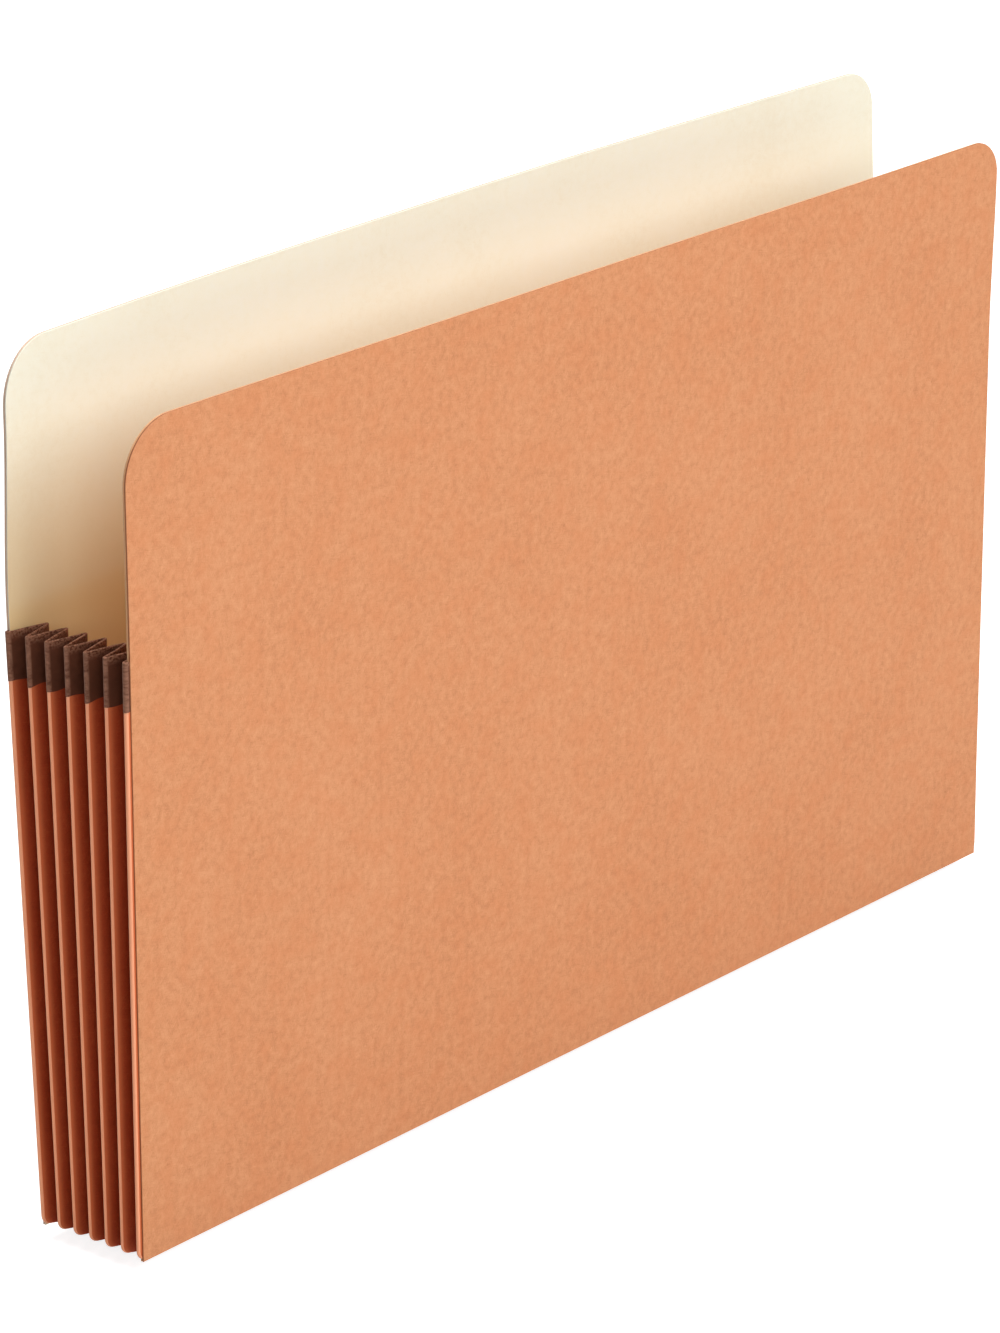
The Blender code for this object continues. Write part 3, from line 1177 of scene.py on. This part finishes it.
    def sheet(self, path: FoldPath, along: Array, halves: Array, edge: Array) -> Sheet:
        """A sheet along a line.

        Each leaf bellies out a little, by two long sine waves along its crease, most half-way
        between its creases.

        Args:
            path: the line.
            along: places along the creases, as rows by points of the line.
            halves: half its thickness in each row.
            edge: share of each row that is a worn edge.

        Returns:
            The sheet.
        """
        phase = self.leaf_phase * path.leaf + self.stretch_phase * self.stretch.value
        short = np.sin(self.short_wave * along - self.short_turn * phase)
        waves = np.sin(self.long_wave * along + phase) + self.short_share * short
        sense = np.where(path.leaf % 2 == 1, 1, -1)
        swell = self.ripple * path.belly * waves * sense
        inward = np.broadcast_to(path.inward, along.shape)
        if self.stretch is not Stretch.BOTTOM:
            inward = inward + self.corner_shift(inward, along)
            inward = inward + self.tuck * smooth_step(along / self.tuck_height)
        forward = np.broadcast_to(path.forward, along.shape)
        faces = []
        for side in (1, -1):
            offset = swell + side * halves[:, None]
            moved_in = inward + path.normal[:, 0] * offset
            moved_on = forward + path.normal[:, 1] * offset
            faces.append(self.place(moved_in, moved_on, along))
        unfolded = np.broadcast_to(path.unfolded, along.shape) + self.map_step * self.stretch.value
        return Sheet(
            front=faces[0],
            back=faces[1],
            rings=[],
            paper_map=np.stack([unfolded, along + self.map_height], axis=-1),
            crease=np.broadcast_to(path.crease, along.shape),
            edge=np.repeat(edge[:, None], along.shape[1], axis=1),
        )

    def paper_sheet(self, path: FoldPath) -> Sheet:
        """The gusset's paper along a line. Under a tape it stops short of the top."""
        along = self.bottom_rows(path) if self.stretch is Stretch.BOTTOM else self.side_rows(path)
        return self.sheet(path, along, np.full(len(along), self.thickness / 2), np.zeros(len(along)))

    def tape_sheet(self, path: FoldPath) -> Sheet:
        """The tape along a line: it goes over the top edge, and its lower edge wanders a little.

        That edge follows the sum of two sine waves along the paper. The rows go evenly up from it, but
        the last but one is close under the top, where the tape narrows to half its thickness.

        Args:
            path: the line.

        Returns:
            The sheet.
        """
        high = self.top_edge(path)
        long_wave, short_wave = self.tape_waves
        waves = np.sin(long_wave * path.unfolded) + np.sin(short_wave * path.unfolded + 1)
        low = high - self.tape_height + self.tape_wander * waves
        share = np.linspace(0, 1, self.tape_rows)
        share[-2] = 1 - self.tape_bend
        halves = np.full(self.tape_rows, self.thickness / 2 + self.tape_thickness)
        halves[-1] /= 2
        edge = np.zeros(self.tape_rows)
        edge[-2:] = 1
        return self.sheet(path, low + (high - low) * share[:, None], halves, edge)

    def flap_sheet(self, number: int, end: int) -> Sheet:
        """The spare paper that one bottom leaf has in a corner of the pocket.

        It starts on the leaf's end, on its inner face. Past the mitre it goes on along the side leaf
        there, which lies where the bottom leaf would at the lesser of the height and the distance
        from the outer crease. It shuts the corner when the leaves swing flat.

        Args:
            number: the bottom leaf.
            end: -1 at the left end, 1 at the right.

        Returns:
            The sheet.
        """
        rise = self.leaf_width * math.cos(self.angle)
        radius = self.corner_radius
        over = np.linspace(0, 1, self.flap_columns)[:, None]
        top = rise * (1 + self.flap_spare * (1 - over))
        height = self.mitre_gap + (top - self.mitre_gap) * np.linspace(0, 1, self.flap_rows)
        ridge = radius - np.sqrt(radius**2 - np.clip(radius - height, 0, radius) ** 2)
        outer = np.maximum(self.flap_reach * height, ridge + self.mitre_gap)
        inner = np.maximum(height, radius) + 2 * self.mitre_gap
        across = outer + (inner - outer) * over
        share = np.minimum(across, height) / rise
        odd = number % 2 == 1
        line, _ = self._leaf_line(number, (share if odd else 1 - share).ravel(), 0)
        middle = line[:, 1].reshape(height.shape) + (-1 if odd else 1) * self.flap_clearance
        along = end * (self.reach_out - across)
        half = self.flap_thickness / 2
        return Sheet(
            front=self.place(height, middle - half, along),
            back=self.place(height, middle + half, along),
            rings=[],
            paper_map=np.stack([height + number * self.leaf_width, along], axis=-1),
            crease=np.zeros(height.shape),
            edge=np.zeros(height.shape),
        )

    def fill_corners(self) -> list[bpy.types.Object]:
        """Put the spare paper at both ends of every bottom leaf.

        Returns:
            The pieces.
        """
        flaps = []
        for number in range(1, self.leaves + 1):
            for end, side in ((-1, "left"), (1, "right")):
                name = f"{side}_corner_flap_{number:02d}"
                flap = self.flap_sheet(number, end).build(name, self.finishes.gusset)
                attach(flap, self.leaf_name(number))
                flaps.append(flap)
        return flaps

    def join(self, piece: bpy.types.Object, fold: int) -> None:
        """Bake a piece's place into its points; it isn't made to bend at its crease.

        It works out where the paper leaves the bodies behind and before the crease, measured square to
        the crease from its axis, but doesn't use it.

        Args:
            piece: the paper or tape.
            fold: number of the crease.
        """
        reach = math.cos(self.angle) * self.leaf_pitch / 2
        flange_face = self.flange_offset - self.thickness / 2
        behind = flange_face if fold == 0 else reach
        before = flange_face if fold == self.leaves else reach
        y = self.first[1] - self.creases[fold, 1]
        tilt = 0.0
        if self.stretch is not Stretch.BOTTOM:
            tilt = -(self.creases[-1, 1] - self.creases[fold, 1]) / self.fan_depth
        square = Vector((0, 1, tilt)) / (1 + tilt * tilt)
        on_axis = Vector((self.first[0], y, self.first[2]))
        start = on_axis + square * behind
        end = on_axis - square * before
        self.leaf_name(fold)
        self.leaf_name(fold + 1)
        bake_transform(piece)

    def nodes_of(self, fold: int) -> list[str]:
        """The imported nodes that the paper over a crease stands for.

        Args:
            fold: number of the crease.

        Returns:
            The leaf before the crease, and a flange at either end of the left stretch.
        """
        nodes = [] if fold == self.leaves else [self.leaf_name(fold + 1)]
        if self.stretch is Stretch.LEFT and fold == 0:
            nodes.append("back_flange")
        if self.stretch is Stretch.LEFT and fold == self.leaves:
            nodes.append("front_flange")
        return nodes

    def cover_line(self, path: FoldPath, ending: str) -> list[bpy.types.Object]:
        """The paper along a line and, on a side, the tape over its top.

        Args:
            path: the line.
            ending: the end of the pieces' names.

        Returns:
            The pieces.
        """
        label = self.stretch.label
        paper = self.paper_sheet(path).build(f"{label}_fold_{ending}", self.finishes.gusset)
        if self.stretch is Stretch.BOTTOM:
            return [paper]
        tape = self.tape_sheet(path).build(f"{label}_tape_{ending}", self.finishes.tape)
        return [paper, tape]

    def build(self) -> list[bpy.types.Object]:
        """Make the paper and the tape over every crease.

        Only the left stretch has a joint at the front panel. On the others the last fold is made
        twice, once on the last leaf and once on the panel, and the two overlap about the crease's
        axis.

        Returns:
            The pieces.
        """
        pieces = []
        for fold in range(self.leaves + 1):
            jointed = fold < self.leaves or self.stretch is Stretch.LEFT
            path = self.fold_path(fold, FoldPart.WHOLE if jointed else FoldPart.LEAF_HALF)
            for piece in self.cover_line(path, f"{fold:02d}"):
                if jointed:
                    self.join(piece, fold)
                else:
                    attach(piece, self.leaf_name(fold))
                if piece.name.endswith(f"fold_{fold:02d}"):
                    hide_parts(*self.nodes_of(fold))
                pieces.append(piece)
            if not jointed:
                path = self.fold_path(fold, FoldPart.PANEL_HALF)
                for piece in self.cover_line(path, "front_edge"):
                    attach(piece, Side.FRONT.body)
                    pieces.append(piece)
        if self.stretch is Stretch.BOTTOM:
            pieces += self.fill_corners()
        return pieces


@dataclass(frozen=True)
class Lamp:
    """A soft lamp that points at the object."""

    name: str
    place: tuple[float, float, float]
    width: float
    height: float
    power: float  # in watts

    def hang(self, aim: Vector) -> None:
        """Make the lamp.

        Args:
            aim: the point that it shines at.
        """
        light = bpy.data.lights.new(self.name, "AREA")
        light.shape = "RECTANGLE"
        light.size = self.width
        light.size_y = self.height
        light.energy = self.power
        holder = bpy.data.objects.new(self.name, light)
        holder.location = self.place
        holder.rotation_euler = (aim - Vector(self.place)).to_track_quat("-Z", "Y").to_euler()
        bpy.context.scene.collection.objects.link(holder)


@dataclass
class Studio:
    """Floor, soft lamps, white surroundings and the camera."""

    azimuth: float = -50.402  # degrees, from looking along +Y
    elevation: float = 19.931
    distance: float = 1.6315
    aim: tuple[float, float, float] = (-0.01883, -0.0045, 0.11422)
    lens: float = 158.91  # mm, for a long side of sensor_size
    sensor_size: float = 36.0
    farthest: float = 50.0  # that the camera sees
    floor_half: float = 6.0
    floor_level: float = -0.0036  # just under the front panel's foot when the pocket is wide open
    sky: float = 0.03  # light from all round
    lamps: tuple[Lamp, ...] = (
        Lamp("key_lamp", place=(0.3, -2.2, 2.3), width=2.6, height=3.6, power=98.0),
        Lamp("top_lamp", place=(0.2, 0.9, 2.6), width=2.0, height=2.0, power=70.0),
        Lamp("side_lamp", place=(-1.7, -1.9, 1.0), width=0.9, height=0.9, power=12.0),
    )

    def build(self) -> None:
        """Set up everything round the object."""
        self.lay_floor()
        self.light_surroundings()
        for lamp in self.lamps:
            lamp.hang(Vector(self.aim))
        self.place_camera()
        bpy.context.scene.view_settings.view_transform = "Standard"

    def lay_floor(self) -> None:
        """A wide flat floor that isn't part of the object."""
        side = np.linspace(-self.floor_half, self.floor_half, 2)
        x, y = np.meshgrid(side, side)
        points = np.stack([x.ravel(), y.ravel(), np.full(4, self.floor_level)], axis=-1)
        mesh = bpy.data.meshes.new("floor")
        mesh.from_pydata(points, [], [(0, 1, 3, 2)])
        mesh.materials.append(PaleFloor().build())
        floor = bpy.data.objects.new("floor", mesh)
        bpy.context.scene.collection.objects.link(floor)

    def light_surroundings(self) -> None:
        """White to look at, and a soft even light to the object."""
        world = bpy.data.worlds.new("soft_surroundings")
        world.use_nodes = True
        graph = Graph(world.node_tree)
        strength = self.sky + seen_rays(graph) * (1 - self.sky)
        light = graph.node("ShaderNodeBackground", {}, {"Color": (1, 1, 1, 1), "Strength": strength})
        graph.node("ShaderNodeOutputWorld", {}, {"Surface": light})
        bpy.context.scene.world = world

    def place_camera(self) -> None:
        """The camera at the photograph's angle, at its distance from the point that it looks at."""
        turn, rise = math.radians(self.azimuth), math.radians(self.elevation)
        back = Vector(
            (math.sin(turn) * math.cos(rise), -math.cos(turn) * math.cos(rise), math.sin(rise))
        )
        lens = bpy.data.cameras.new("camera")
        lens.lens = self.lens
        lens.sensor_width = self.sensor_size
        lens.clip_end = self.farthest
        camera = bpy.data.objects.new("camera", lens)
        camera.location = Vector(self.aim) + back * self.distance
        camera.rotation_euler = (-back).to_track_quat("-Z", "Y").to_euler()
        bpy.context.scene.collection.objects.link(camera)
        bpy.context.scene.camera = camera


def main() -> None:
    """Build the pocket and its surroundings."""
    logging.basicConfig(level=logging.INFO, format="%(name)s: %(message)s")
    finishes = Finishes.make()
    back = Panel(Side.BACK, finishes, left_lean=-0.0033, right_lean=0.0002, bow=0.0058, right_drop=0.0009)
    front = Panel(Side.FRONT, finishes, left_lean=-0.0003, right_lean=0.0011, right_drop=0.0017)
    left = Gusset(Stretch.LEFT, finishes)
    right = Gusset(Stretch.RIGHT, finishes, tuck=0.0006)
    bottom = Gusset(Stretch.BOTTOM, finishes)
    for assembly in (back, front, left, right, bottom):
        for piece in assembly.build():
            log.info("%s has %d faces", piece.name, len(piece.data.polygons))
    Studio().build()


if __name__ == "__main__":
    main()
